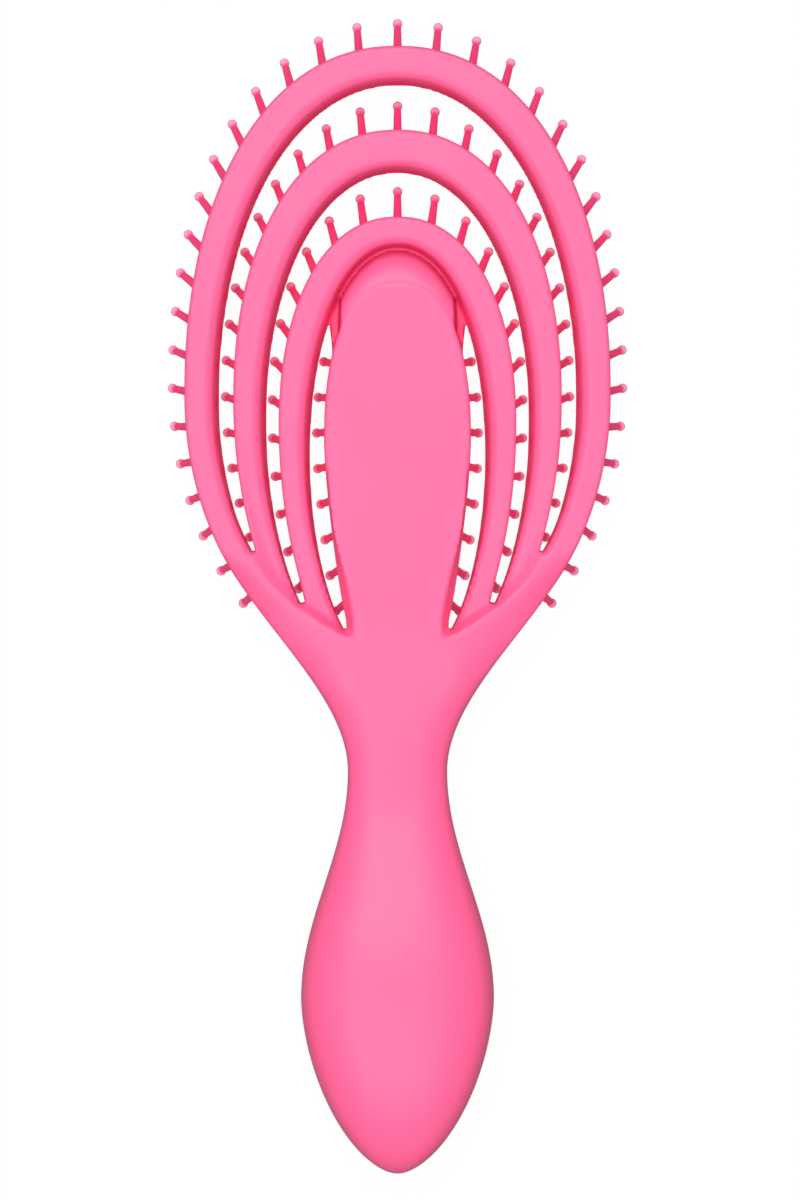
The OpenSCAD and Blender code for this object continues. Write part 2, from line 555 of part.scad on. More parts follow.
shoulder_steps = 20;
module shoulders_whole() let(n = across_steps * 4)
    swept([for (k = [0:shoulder_steps]) let(y = mix(-weld_end_down, seat_y, k / shoulder_steps))
        concat([for (j = [1:across_steps * 2 - 1]) low_point(across(j / 2), y)],
            [for (j = [across_steps * 2:-1:0]) top_point(across(j / 2), y)])],
        concat([for (j = [0:n / 2 - 3]) [j, j + 1, n - 3 - j, n - 2 - j]],
            [[n - 1, 0, n - 2], [n / 2 - 2, n / 2 - 1, n / 2]]));

// What a cut runs past the faces that it goes through
past = arch_t;
module through() translate([0, 0, low_z(-weld_end_down) - past]) linear_extrude(back_z + past) children();
// A slot between two edges on each side, from its rounded bottom up past the end of the shoulders
slot_steps = 8;
module slot(wide, narrow, low_y) for (side = [-1, 1]) {
    r = (wide(low_y + roll_w / 2) - narrow(low_y + roll_w / 2)) / 2;
    ys = [for (k = [0:slot_steps]) mix(low_y + r, seat_y + past, k / slot_steps)];
    through() scale([side, 1]) {
        polygon(concat([for (y = ys) [wide(y), y]], [for (y = turned(ys)) [narrow(y), y]]));
        translate([(wide(ys[0]) + narrow(ys[0])) / 2, ys[0]]) circle(r = (wide(ys[0]) - narrow(ys[0])) / 2);
    }
}
// The hollow seat that an arch's rounded end turns in, and the room above it
module seat(y, from_x, to_x) for (side = [-1, 1]) {
    translate([side * (from_x + to_x) / 2, y, bend_z]) rotate([0, 90, 0])
        cylinder(r = bend_r + bend_gap, h = to_x - from_x, center = true, $fn = 64);
    translate([side < 0 ? -to_x : from_x, y - seat_drop, low_z(y) - past])
        cube([to_x - from_x, past * 2, back_z + past]);
}

// Where the middle arch's seat ends and the outer arch's begins
outer_seat_x = edge_x(middle_out, middle_bend_y) + bend_gap / 2;
module shoulders() difference() {
    shoulders_whole();
    slot(function(y) edge_x(outer_in, y), function(y) edge_x(middle_out, y), outer_slot_y);
    slot(function(y) edge_x(middle_in, y), function(y) edge_x(inner_out, y), middle_slot_y);
    slot(function(y) edge_x(inner_in, y), function(y) tongue_x(y), inner_slot_y);
    seat(outer_bend_y, outer_seat_x, outer_half_w);
    seat(middle_bend_y, (edge_x(middle_in, seat_y) + edge_x(inner_out, seat_y)) / 2, outer_seat_x);
    pad_body(strip_gap);
    shoulder_strip_body(strip_gap);
    inner_strip_body(strip_gap);
}

// Half of the hollow handle: the back half where up is 1, the front half where it is -1
end_wall = wall * 1.6;
function handle_point(s, y, in, up) = let(far_z = up > 0 ? mid_top_z(y) : low_z(y))
    [s * (half_w(y) - in), y, weld_z + (far_z - up * in - weld_z) * bow(s, squareness(y))];
module half_shell(up) {
    n = across_steps + 1;
    steps = handle_steps;
    len_y = handle_len - weld_end_down;
    len_in = len_y - end_wall - wall;
    y_out = [for (k = [0:steps]) -handle_len + len_y * (1 - cos(90 * k / steps))];
    y_in = [for (k = [0:steps]) -handle_len + end_wall + len_in * (1 - cos(90 * k / steps))];
    points = concat([for (y = y_out, j = [0:n - 1]) handle_point(across(j), y, 0, up)],
        [for (y = y_in, j = [0:n - 1]) handle_point(across(j), y, wall, up)]);
    inner = n * (steps + 1);
    last = n * steps;
    faces = concat(
        [for (k = [0:steps - 1], j = [0:n - 2]) let(a = k * n + j) [a, a + n, a + n + 1]],
        [for (k = [0:steps - 1], j = [0:n - 2]) let(a = k * n + j) [a, a + n + 1, a + 1]],
        [for (k = [0:steps - 1], j = [0:n - 2]) let(a = inner + k * n + j) [a, a + n + 1, a + n]],
        [for (k = [0:steps - 1], j = [0:n - 2]) let(a = inner + k * n + j) [a, a + 1, a + n + 1]],
        [for (k = [0:steps - 1]) let(a = k * n) [a, inner + a, inner + a + n, a + n]],
        [for (k = [0:steps - 1]) let(a = k * n + n - 1) [inner + a, a, a + n, inner + a + n]],
        [[inner + last, inner + last + n - 1, last + n - 1, last], [0, inner + n - 1, inner]],
        [[for (j = [n - 1:-1:0]) last + j], [for (j = [0:n - 1]) inner + last + j],
            [for (j = [n - 1:-1:0]) inner + j]]);
    polyhedron(points, up > 0 ? faces : [for (f = faces) turned(f)], convexity = 10);
}

// Pegs on the front shell stand in sleeves in the back shell, along the middle of the handle
peg_shares = [0.12, 0.5, 0.88];
peg_ys = [for (share = peg_shares) mix(-weld_end_down - wall * 3, -handle_len + wall * 4, share)];
peg_depth = peg_r * 2;
module sleeves() for (y = peg_ys) translate([0, y, weld_z]) difference() {
    cylinder(r = peg_r + wall, h = mid_top_z(y) - wall / 2 - weld_z);
    translate([0, 0, -past]) cylinder(r = peg_r + peg_gap, h = past + peg_depth + peg_gap);
}
module pegs() for (y = peg_ys) translate([0, y, low_z(y) + wall / 2])
    cylinder(r = peg_r, h = weld_z + peg_depth - low_z(y) - wall / 2);

module back_shell() placed() color(pink) {
    shoulders();
    half_shell(1);
    tongue_plate();
    sleeves();
}

module front_shell() placed() color(pink) {
    half_shell(-1);
    pegs();
}

back_shell();
front_shell();
outer_arch();
middle_arch();
inner_arch();
outer_pin_strip();
middle_pin_strip();
inner_pin_strip();
tongue_pin_pad();
shoulder_pin_strips();
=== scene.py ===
import bmesh
import bpy
import numpy as np
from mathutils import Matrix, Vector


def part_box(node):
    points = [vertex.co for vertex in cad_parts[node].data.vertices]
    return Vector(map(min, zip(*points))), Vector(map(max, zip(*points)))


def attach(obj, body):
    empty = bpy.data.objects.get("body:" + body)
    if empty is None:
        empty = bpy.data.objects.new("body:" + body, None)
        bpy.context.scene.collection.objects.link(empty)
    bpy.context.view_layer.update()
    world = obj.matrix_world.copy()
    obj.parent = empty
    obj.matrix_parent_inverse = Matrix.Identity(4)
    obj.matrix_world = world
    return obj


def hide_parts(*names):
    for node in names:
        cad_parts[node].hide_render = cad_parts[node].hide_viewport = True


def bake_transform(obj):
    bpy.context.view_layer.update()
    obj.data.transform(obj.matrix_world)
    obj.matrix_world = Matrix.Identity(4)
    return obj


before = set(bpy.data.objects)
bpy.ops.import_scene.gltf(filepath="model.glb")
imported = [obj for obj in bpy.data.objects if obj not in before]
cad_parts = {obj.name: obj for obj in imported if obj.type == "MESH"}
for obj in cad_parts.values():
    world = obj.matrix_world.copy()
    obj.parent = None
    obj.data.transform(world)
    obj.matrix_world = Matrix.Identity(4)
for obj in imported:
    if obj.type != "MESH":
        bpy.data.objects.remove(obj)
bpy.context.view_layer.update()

# The soft-touch mouldings. The back half of the handle, the neck, the shoulders, the flat tongue and the
# three arches are one nylon moulding with a soft-touch skin, and the front half of the handle is welded to
# it. Sizes are in millimetres, with y from the shoulder line, where the head grows out of the neck.
MM = 0.001
handle_len = 115.6
shoulder_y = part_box("back_shell")[0].y / MM + handle_len
front_z, arch_t, tongue_rise = 13.5, 5.0, 1.0
tongue_z = front_z + arch_t + tongue_rise

# The outer and the inner edge of each arch, and the tongue: half width, height of the widest line, rise
# from it to the crown, fullness, and reach below it
OUTER = ((42.7, 40.8, 70.0, 2.18, 56.2), (35.7, 39.8, 63.2, 2.08, 54.2))
MIDDLE = ((32.9, 39.8, 54.2, 2.18, 59.6), (26.2, 35.8, 49.6, 2.08, 55.0))
INNER = ((23.8, 34.8, 41.8, 2.18, 54.4), (17.4, 28.8, 41.2, 2.08, 44.4))
TONGUE = (14.7, 31.8, 31.6, 2.35, 1.0)


def mix(a, b, share):
    """A value that lies a share of the way from a to b."""
    return a + (b - a) * share


def ease(share):
    """Half a cosine wave from 0 to 1 as a share goes from 0 to 1."""
    return 0.5 - 0.5 * np.cos(np.pi * np.clip(share, 0, 1))


def fade(y, start, end):
    """Half a cosine wave that goes from 0 at one height to 1 at another."""
    return ease((y - start) / (end - start))


def beyond(edge, x, y):
    """Distance outside an edge, which is a superellipse above its widest line and an ellipse below it: how
    far its equation is from 1, divided by the slope of that equation."""
    half_w, wide_y, rise, fullness, reach = edge
    above = y > wide_y
    p, height = np.where(above, fullness, 2.0), np.where(above, rise, reach)
    u, v = np.abs(x) / half_w, np.abs(y - wide_y) / height
    q = (u**p + v**p) ** (1 / p) + 1e-9
    return (q - 1) / np.hypot((u / q) ** (p - 1) / half_w, (v / q) ** (p - 1) / height)


def edge_x(edge, y):
    """Half width of an edge below its widest line, by the equation of its ellipse."""
    half_w, wide_y, _, _, reach = edge
    return half_w * np.sqrt(np.clip(1 - (np.clip(wide_y - y, 0, None) / reach) ** 2, 0, 1))


tongue_root_w, tongue_root_y, tongue_draw_in = 10.5, -4.2, 1.5


def tongue_low_side(y):
    """Half width of the tongue below its widest line, where its sides draw in more and more towards the
    neck: it falls with a power of the share of the way down."""
    down = np.clip((TONGUE[1] - y) / (TONGUE[1] - tongue_root_y), 0, 1)
    return mix(TONGUE[0], tongue_root_w, down ** tongue_draw_in)


def beyond_tongue(x, y):
    """Distance outside the tongue: outside its superellipse round the tip, and past its sides below
    that."""
    side = tongue_low_side(y)
    return np.where(y > TONGUE[1], beyond(TONGUE, x, np.maximum(y, TONGUE[1])), np.abs(x) - side)


def bent_corner(a, b, r):
    """What lies inside both a and b, with a quarter circle of radius r for the edge between them."""
    return np.hypot(np.maximum(a + r, 0), np.maximum(b + r, 0)) + np.minimum(np.maximum(a, b) + r, 0) - r


join_y, neck_y, grip_y = 3.8, -34.6, -80.2
neck_w, grip_w, end_fullness = 10.0, 19.4, 1.7
neck_back_z, neck_front_z, grip_t, end_roundness = 17.6, 5.0, 24.0, 2.4
weld_z, weld_y = 12.5, -26.0


def past_grip(y):
    """Share of the way from the grip's widest line to the end of the handle."""
    return np.clip((grip_y - y) / (handle_len + grip_y), 0, 1)


def half_width(y):
    """Half width from the end of the handle to the head: a superellipse at the end, half a cosine wave from
    the grip to the neck, a cubic curve over the shoulders that meets the outer arch in line, and its
    ellipse."""
    slope = OUTER[0][0] ** 2 * (OUTER[0][1] - join_y) / (OUTER[0][4] ** 2 * edge_x(OUTER[0], join_y))
    t, reach = np.clip((y - neck_y) / (join_y - neck_y), 0, 1), join_y - neck_y
    neck = (neck_w * (2 * t**3 - 3 * t**2 + 1) + edge_x(OUTER[0], join_y) * (3 * t**2 - 2 * t**3)
            + slope * reach * (t**3 - t**2))
    grip = mix(grip_w, neck_w, fade(y, grip_y, neck_y))
    end = grip_w * (1 - past_grip(y) ** end_fullness) ** (1 / end_fullness)
    return np.select([y >= join_y, y > neck_y, y > grip_y], [edge_x(OUTER[0], y), neck, grip], end)


def face_height(y, head_z, neck_z, grip_z):
    """Height of the back or of the front along the middle line: half cosine waves from the head to the neck
    and from there to the grip, and a superellipse down or up to the weld line at the end."""
    neck = mix(neck_z, head_z, fade(y, neck_y, 0))
    grip = mix(grip_z, neck_z, fade(y, grip_y, neck_y))
    end = mix(weld_z, grip_z, (1 - past_grip(y) ** end_roundness) ** (1 / end_roundness))
    return np.select([y > neck_y, y > grip_y], [neck, grip], end)


shelf_drop, shelf_slope = 4.1, 0.12
web_t, web_x, web_y, web_end, web_top = 0.9, 11.1, 60.4, 0.8, 1.6


def across_shelf(x, y):
    """Share of the way from the side of the tongue to the inner wall of the inner arch, from the two
    distances."""
    tongue, arch = np.maximum(beyond_tongue(x, y), 0), np.maximum(-beyond(INNER[1], x, y), 0)
    return tongue / (tongue + arch + 1e-6)


def shelf_height(x, y):
    """Height of the shelf between the tongue and the inner arch. It falls by a little of the share of the
    way across and by most of its cube, down to a groove along the arch. Past its ends only a low web is
    left."""
    share = across_shelf(x, y)
    high = tongue_z - shelf_drop * (shelf_slope * share + (1 - shelf_slope) * share ** 3)
    web = ease((np.abs(x) - web_x) / web_end) * ease((web_y - y) / web_top + 0.5)
    return mix(high, front_z + web_t, web)


seat_y, root_sink, roll_w, shoulder_roll = 11.94, 2.1, 2.0, 2.0
rim_low_y, rim_bow = -8.1, 4.4
pocket_slant, pocket_drop, pocket_corner_r, pocket_soft = 0.6, 0.4, 2.0, 0.9


def back_height(x, y):
    """Height of the back: that of its middle line, less the step at the tongue's edge, less the pocket
    within the rims that the roots of the arches sink into, less a roll that grows with the square of the
    share of the way from a rim to the side of the shoulders. The pocket has round corners and a sine wave
    for its walls."""
    up = np.clip((y - rim_low_y) / (seat_y - rim_low_y), 0, 1)
    rim = mix(neck_w, edge_x(OUTER[1], seat_y), up) + rim_bow * np.sin(np.pi * up)
    rim = np.where(y > seat_y, edge_x(OUTER[1], y), rim)
    soft_edge = mix(2.0, 0.5, fade(y, -1, 17))
    off_tongue = ease((beyond_tongue(x, y) + soft_edge) / soft_edge)
    off_tongue = mix(off_tongue, ease(across_shelf(x, y)), fade(y, 20, 30))
    pocket = bent_corner(pocket_slant * (np.abs(x) - rim), rim_low_y - pocket_drop - y, pocket_corner_r)
    within_rim = np.maximum(-pocket, 0)
    off_rim = np.sin(np.pi / 2 * np.clip(within_rim ** 2 / (within_rim + pocket_soft) / roll_w, 0, 1))
    sink = root_sink * np.clip((INNER[0][1] - y) / (INNER[0][1] - rim_low_y), 0, 1)
    roll = np.clip((np.abs(x) - rim) / np.maximum(half_width(y) - rim, 1), 0, 1) ** 2
    roll = roll * shoulder_roll * fade(y, -22, -10) * (1 - fade(y, 2, 12))
    step = tongue_rise * off_tongue * fade(y, -10, -1)
    return face_height(y, tongue_z, neck_back_z, grip_t) - step - sink * off_tongue * off_rim - roll


# The bottom of each slot, and how much narrower it gets there on its outer and on its inner side
OUTER_SLOT, MIDDLE_SLOT, INNER_SLOT = (9.3, 0.6, 0.1), (-1.0, 0.15, 0.5), (-6.2, 0.0, -0.3)
draft, low_draft, draft_run, narrow_run, slot_corner_r = 1.7, 0.35, 28, 9, 0.45


def vent(arch, within, slot, x, y, z):
    """Distance outside the slot between the inner wall of an arch and the piece within it, which has round
    corners at its bottom, and how much nearer a point is to the arch than to that piece. The wall leans
    outwards in proportion to the height, less so towards the bottom, where the slot narrows from both sides
    with the square of the share of the way down."""
    low_y, wall_pinch, within_pinch = slot
    lean = draft * mix(low_draft, 1, ease((y - low_y) / draft_run))
    narrow = (1 - np.clip((y - low_y) / narrow_run, 0, 1)) ** 2
    wall = beyond(arch[1], x, y) - lean * (z - front_z) / arch_t + wall_pinch * narrow
    within = within - within_pinch * narrow
    return bent_corner(np.maximum(wall, -within), low_y - y, slot_corner_r), wall + within


back_fullness, front_fullness, plate_fullness = 2.9, 2.4, 7.0
back_edge_r, wall_edge_r, front_edge_r, shelf_edge_r, wall_blend = 0.7, 1.4, 0.5, 0.5, 4
SHELF_END = ((13.0, 49.3), (13.65, 55.2))


def moulding(x, y, z):
    """Distance outside the moulding. The handle, neck and shoulders have squared ellipses for sections and
    turn into the flat plate of the head. The slots are cut out of that with round edges, whose radius is
    mixed by height and by side. The shelf and its webs are what the slot round the tongue leaves past a
    slanting line on each side."""
    top = back_height(x, y)
    low = face_height(y, front_z, neck_front_z, 0)
    half_w = np.maximum(half_width(y), 1e-3)
    flat = fade(y, weld_y, 0)
    waist_z = mix(weld_z, front_z + arch_t / 2, flat)
    p = mix(np.where(z > waist_z, back_fullness, front_fullness), plate_fullness, flat)
    height = np.maximum(np.where(z > waist_z, top - waist_z, waist_z - low), 1e-3)
    u, v = np.abs(x) / half_w, np.abs(z - waist_z) / height
    q = (u**p + v**p) ** (1 / p) + 1e-9
    body = (q - 1) / np.hypot((u / q) ** (p - 1) / half_w, (v / q) ** (p - 1) / height)
    body = np.maximum(body, -handle_len - y)
    plate = bent_corner(bent_corner(beyond(OUTER[0], x, y), z - top, back_edge_r), low - z, front_edge_r)
    body = mix(body, plate, fade(y, 1, 11))

    outer_vent, outer_side = vent(OUTER, beyond(MIDDLE[0], x, y), OUTER_SLOT, x, y, z)
    middle_vent, middle_side = vent(MIDDLE, beyond(INNER[0], x, y), MIDDLE_SLOT, x, y, z)
    inner_vent, inner_side = vent(INNER, beyond_tongue(x, y), INNER_SLOT, x, y, z)
    (ax, ay), (bx, by) = SHELF_END
    end = ((np.abs(x) - ax) * (by - ay) - (y - ay) * (bx - ax)) / np.hypot(bx - ax, by - ay)
    shelf = np.maximum(end, z - shelf_height(x, y))
    inner_vent = bent_corner(inner_vent, -shelf, shelf_edge_r)

    vents = np.minimum(np.minimum(outer_vent, middle_vent), inner_vent)
    wall_side = np.select([vents == outer_vent, vents == middle_vent], [outer_side, middle_side], inner_side)
    edge_r = mix(back_edge_r, wall_edge_r, ease(wall_side / wall_blend + 0.5))
    edge_r = mix(front_edge_r, edge_r, np.clip((z - front_z) / arch_t, 0, 1))
    return bent_corner(body, -vents, edge_r)


def netted(solid, low, high, cell):
    """Skin of a solid given by its distance: each cell of a grid that the skin crosses gets one point, at
    the mean of the crossings on its edges, and the four cells round each crossed edge of the grid make a
    face."""
    low = np.array(low, float)
    axes = [np.arange(a, b, cell) for a, b in zip(low, high)]
    f = solid(axes[0][:, None, None], axes[1][None, :, None], axes[2][None, None, :])
    inside = f < 0
    corners = np.array([(i, j, k) for i in (0, 1) for j in (0, 1) for k in (0, 1)])
    n = np.array(f.shape) - 1
    filled = sum(inside[i:n[0] + i, j:n[1] + j, k:n[2] + k].astype(np.int8) for i, j, k in corners)
    cells = np.argwhere((filled > 0) & (filled < len(corners)))
    number = np.full(n, -1)
    number[tuple(cells.T)] = np.arange(len(cells))
    values = np.stack([f[tuple((cells + c).T)] for c in corners], 1)
    total, hits = np.zeros((len(cells), 3)), np.zeros(len(cells))
    for a in range(len(corners)):
        for b in range(a + 1, len(corners)):
            if np.abs(corners[a] - corners[b]).sum() == 1:
                va, vb = values[:, a], values[:, b]
                crossed = (va < 0) != (vb < 0)
                t = np.where(crossed, va / np.where(crossed, va - vb, 1), 0)
                total += crossed[:, None] * (corners[a] + t[:, None] * (corners[b] - corners[a]))
                hits += crossed
    points = low + (cells + total / hits[:, None]) * cell
    quads = []
    for axis in range(3):
        first, second = np.take(inside, range(n[axis]), axis), np.take(inside, range(1, n[axis] + 1), axis)
        at = np.argwhere(first != second)
        side, up = np.eye(3, dtype=int)[(axis + 1) % 3], np.eye(3, dtype=int)[(axis + 2) % 3]
        around = [at - i * side - j * up for i, j in ((0, 0), (1, 0), (1, 1), (0, 1))]
        ring = np.stack([number[tuple(c.T)] for c in around], 1)
        leaving = first[tuple(at.T)]
        quads.append(np.where(leaving[:, None], ring, ring[:, ::-1]))
    return points, np.concatenate(quads)


def slope_of(solid, points, step=0.02):
    """Value of a solid's distance at points, and the direction in which it grows, from the difference
    between two steps to either side along each axis."""
    x, y, z = points.T
    grow = [solid(x + i * step, y + j * step, z + k * step) - solid(x - i * step, y - j * step, z - k * step)
            for i, j, k in np.eye(3)]
    return solid(x, y, z), np.stack(grow, 1) / (2 * step)


def settled(solid, points, quads, rounds, cell):
    """Points moved halfway to the mean of their neighbours and then by their distance onto the skin, at
    most half a cell at a time. The last two rounds only draw them onto it."""
    a, b = quads.ravel(), np.roll(quads, -1, 1).ravel()
    ends, others = np.concatenate([a, b]), np.concatenate([b, a])
    count = np.bincount(ends, minlength=len(points))
    for turn in range(rounds):
        if turn < rounds - 2:
            mean = np.stack([np.bincount(ends, points[others, i], len(points)) for i in range(3)], 1)
            points = mix(points, mean / count[:, None], 0.5)
        value, grow = slope_of(solid, points)
        step = value[:, None] * grow / np.maximum((grow**2).sum(1), 1e-6)[:, None]
        long = np.linalg.norm(step, axis=1, keepdims=True)
        points = points - step * np.minimum(1, 0.5 * cell / np.maximum(long, 1e-9))
    return points


def placed(points):
    """Points in millimetres from the shoulder line, put into the frame in metres."""
    return (points + (0, shoulder_y, 0)) * MM


def skin(name, points, faces, normals=None, closed=True):
    """A smooth mesh object of the faces and the points that they use, with the cuts between pieces closed
    and normals that carry on over them."""
    mesh = bpy.data.meshes.new(name)
    used = np.unique(faces)
    renumber = np.zeros(len(points), int)
    renumber[used] = np.arange(len(used))
    mesh.from_pydata(placed(points[used]), [], renumber[faces].tolist())
    if closed:
        bm = bmesh.new()
        bm.from_mesh(mesh)
        rim = [e for e in bm.edges if e.is_boundary]
        if rim:
            caps = bmesh.ops.holes_fill(bm, edges=rim, sides=0)["faces"]
            bmesh.ops.triangulate(bm, faces=caps)
        bm.to_mesh(mesh)
        bm.free()
    mesh.shade_smooth()
    if normals is not None:
        mesh.normals_split_custom_set_from_vertices(normals[used])
    made = bpy.data.objects.new(name, mesh)
    bpy.context.scene.collection.objects.link(made)
    return made


cell = 0.6
points, quads = netted(moulding, (-43.8, -116.2, -0.6), (44.4, 112.2, 25.2), cell)
points = settled(moulding, points, quads, 6, cell)

# The net is cut where the arches leave the shoulders and where the handle's two halves are welded
arch_cut_y = 12.0
whole = bpy.data.meshes.new("whole")
whole.from_pydata(points, [], quads.tolist())
bm = bmesh.new()
bm.from_mesh(whole)
for level, axis, chosen in ((arch_cut_y, 1, lambda c: c.y > 0), (weld_y, 1, lambda c: c.y < 0),
                            (weld_z, 2, lambda c: c.y < weld_y)):
    at = [0, 0, 0]
    at[axis] = level
    faces = [f for f in bm.faces if chosen(f.calc_center_median())
             and min(v.co[axis] for v in f.verts) <= level <= max(v.co[axis] for v in f.verts)]
    edges = {e for f in faces for e in f.edges}
    verts = {v for f in faces for v in f.verts}
    bmesh.ops.bisect_plane(bm, geom=list(verts) + list(edges) + faces, dist=1e-4, plane_co=at,
                           plane_no=[float(i == axis) for i in range(3)])
bmesh.ops.triangulate(bm, faces=bm.faces)
bm.to_mesh(whole)
bm.free()
points = np.empty(len(whole.vertices) * 3)
whole.vertices.foreach_get("co", points)
points = points.reshape(-1, 3)
triangles = np.empty(len(whole.polygons) * 3, int)
whole.polygons.foreach_get("vertices", triangles)
triangles = triangles.reshape(-1, 3)
bpy.data.meshes.remove(whole)

normals = slope_of(moulding, points)[1]
normals /= np.maximum(np.linalg.norm(normals, axis=1, keepdims=True), 1e-9)
cx, cy, cz = points[triangles].mean(1).T
above = cy > arch_cut_y
outer = above & (beyond(OUTER[1], cx, cy) + beyond(MIDDLE[0], cx, cy) > 0)
middle = above & ~outer & (beyond(MIDDLE[1], cx, cy) + beyond(INNER[0], cx, cy) > 0)
front = (cy < weld_y) & (cz < weld_z)
back_moulding = skin("back_moulding", points, triangles[~outer & ~middle & ~front], normals)
outer_arch_skin = skin("outer_arch_skin", points, triangles[outer], normals)
middle_arch_skin = skin("middle_arch_skin", points, triangles[middle], normals)
front_half = skin("front_half", points, triangles[front], normals)

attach(back_moulding, "handle")
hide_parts("back_shell", "inner_arch")
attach(front_half, "handle")
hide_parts("front_shell")

bend_from_y, bend_to_y = arch_cut_y + 0.6, 42.0


def arch_bend(piece):
    """Bakes a piece's place into its mesh. The line along which it would bend with an arch, from where it
    leaves the shoulders up to its widest line, is worked out but not used.
    """
    mid_z = front_z + arch_t / 2
    low, high = placed(np.array([[0, bend_from_y, mid_z], [0, bend_to_y, mid_z]]))
    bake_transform(piece)


arch_bend(outer_arch_skin)
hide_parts("outer_arch")
arch_bend(middle_arch_skin)
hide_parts("middle_arch")


class Sum:
    """A socket of a node tree that takes part in arithmetic, where each sum adds its Math node."""

    def __init__(self, tree, socket=None):
        self.tree, self.socket = tree, socket

    def node(self, kind, settings=None, **values):
        """A node of a type with its settings, and values or links for its sockets by name or by number."""
        made = self.tree.nodes.new("ShaderNode" + kind)
        for key, value in (settings or {}).items():
            setattr(made, key, value)
        for key, value in values.items():
            numbered = key[0] == "i" and key[1:].isdigit()
            socket = made.inputs[int(key[1:]) if numbered else key.replace("_", " ")]
            if isinstance(value, Sum):
                self.tree.links.new(value.socket, socket)
            else:
                socket.default_value = value
        return made

    def maths(self, operation, a, b=0.0):
        """The result of a Math node on two values."""
        return Sum(self.tree, self.node("Math", {"operation": operation}, i0=a, i1=b).outputs[0])

    def __add__(self, other):
        return self.maths("ADD", self, other)

    __radd__ = __add__

    def __mul__(self, other):
        return self.maths("MULTIPLY", self, other)

    __rmul__ = __mul__

    def __sub__(self, other):
        return self.maths("SUBTRACT", self, other)

    def __rsub__(self, other):
        return self.maths("SUBTRACT", other, self)

    def __lt__(self, other):
        return self.maths("LESS_THAN", self, other)

    def __gt__(self, other):
        return self.maths("GREATER_THAN", self, other)

    def size(self):
        """The value without its sign."""
        return self.maths("ABSOLUTE", self)

    def rise(self, start, end):
        """The share of the way from start to end, in millimetres, kept between 0 and 1."""
        share = (self - start * MM) * (1 / ((end - start) * MM))
        return self.maths("MINIMUM", self.maths("MAXIMUM", share), 1.0)

    def noise(self, scale, detail):
        """Cloudy noise at this point of the surface."""
        return Sum(self.tree, self.node("TexNoise", Vector=self, Scale=scale, Detail=detail).outputs[0])

    def colour(self, none, full):
        """A colour that turns from one to the other as the value goes from 0 to 1."""
        mixed = self.node("Mix", {"data_type": "RGBA"}, i0=self, i6=none, i7=full)
        return Sum(self.tree, mixed.outputs[2])

    def into(self, node, name):
        """Links the value to a socket of a node."""
        self.tree.links.new(self.socket, node.inputs[name])


def finish_of(name, gloss, glow):
    """A new material, its shader, and the point of the surface that its patterns read. The weak red glow is
    painted light: it keeps the shaded sides a deep pink, standing in for the red light that the plastic lets
    through."""
    made = bpy.data.materials.new(name)
    made.use_nodes = True
    shader = made.node_tree.nodes["Principled BSDF"]
    shader.inputs["Specular IOR Level"].default_value = gloss
    # Painted light: a weak red glow that lifts the shaded sides of the plastic to a deep pink
    shader.inputs["Emission Color"].default_value = (1.0, 0.0, 0.08, 1)
    shader.inputs["Emission Strength"].default_value = glow
    place = Sum(made.node_tree).node("TexCoord").outputs["Object"]
    return made, shader, Sum(made.node_tree, place)


def soft_touch():
    """Soft-touch pink: fine matt grain and faint cloudiness, painted shade that turns it a deeper pink low
    in the slots and deepest in the groove inside the inner arch, and a fine dark line along the weld."""
    made, shader, place = finish_of("soft_touch_pink", 0.45, 0.1)
    grain, cloud = place.noise(2600.0, 2.0), place.noise(45.0, 3.0)
    x, y, z = (Sum(place.tree, axis) for axis in place.node("SeparateXYZ", i0=place).outputs)
    # Painted shade: the pink turns deeper from 17 mm down to 15.4 mm high, low in the slot walls, from 5 mm
    # below the shoulder line up and above 13.7 mm
    slots = z.rise(17.0, 15.4) * y.rise(shoulder_y - 9, shoulder_y - 5) * (z > (front_z + 0.2) * MM)
    groove_low_y, groove_top_y = shoulder_y + 52.25, shoulder_y + 74.75
    # Painted shadow: the groove along the inner arch, below 17.9 mm and within 13.5 mm of the middle line,
    # turns the deepest pink
    groove = z.rise(17.9, 15.5) * x.size().rise(13.5, 12.0)
    groove = groove * y.rise(groove_low_y, groove_low_y + 3) * y.rise(groove_top_y, groove_top_y - 1.5)
    weld = ((z - weld_z * MM).size() < 0.09 * MM) * (y < (weld_y + shoulder_y) * MM)
    pink = cloud.colour((0.95, 0.132, 0.312, 1), (0.92, 0.122, 0.295, 1))
    pink = slots.colour(pink, (0.74, 0.035, 0.14, 1))
    pink = groove.colour(pink, (0.5, 0.02, 0.085, 1))
    (weld * 0.6).colour(pink, (0.45, 0.03, 0.12, 1)).into(shader, "Base Color")
    (grain * 0.08 + 0.38).into(shader, "Roughness")
    bump = place.node("Bump", Height=grain, Strength=0.05, Distance=0.0001)
    Sum(place.tree, bump.outputs[0]).into(shader, "Normal")
    return made


soft_pink = soft_touch()
for piece in (back_moulding, outer_arch_skin, middle_arch_skin, front_half):
    piece.data.materials.append(soft_pink)

# The pin rows. Each row is one nylon moulding: a flat strip pressed into a groove in the front of its arch,
# with slim tapering pins that lean outwards from it and end in round balls.
ball_r, stem_r, foot_r, flare_r = 1.0, 0.72, 0.92, 1.3
strip_w, strip_t, strip_proud, strip_in = 3.0, 2.0, 0.4, 0.9
foot_z = front_z - strip_proud


